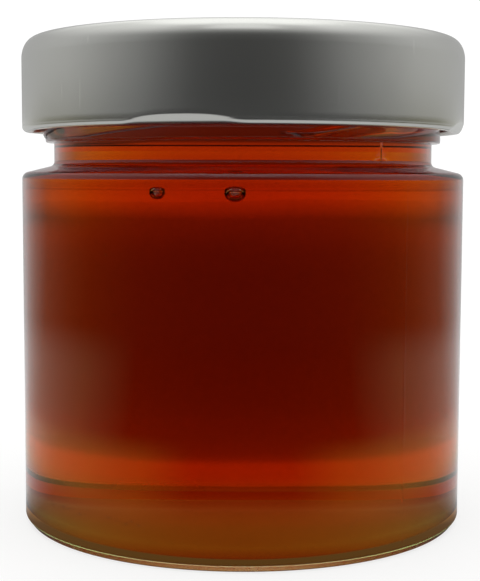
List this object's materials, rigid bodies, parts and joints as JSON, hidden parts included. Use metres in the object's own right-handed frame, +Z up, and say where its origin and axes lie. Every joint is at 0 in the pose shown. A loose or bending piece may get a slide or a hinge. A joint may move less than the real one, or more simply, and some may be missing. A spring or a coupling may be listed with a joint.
{
  "type": "honey jar",
  "caption": "Squat round glass jar with a narrow waist under a deep twist-off metal lid, filled with dark amber honey.",
  "frame": {"origin": "centre of the base, on the surface the jar stands on", "axes": "+Z up along the jar's axis, -Y towards the front of the picture"},
  "size_m": [0.072, 0.072, 0.0778],
  "materials": {
    "jar_glass": "clear flint glass, smooth and glossy",
    "honey": "clear dark amber honey, glossy",
    "lid_metal": "silver lacquered tinplate, satin"
  },
  "bodies": {
    "root": {"glass_jar": "jar_glass", "honey": "honey", "lid": "lid_metal"}
  },
  "joints": []
}
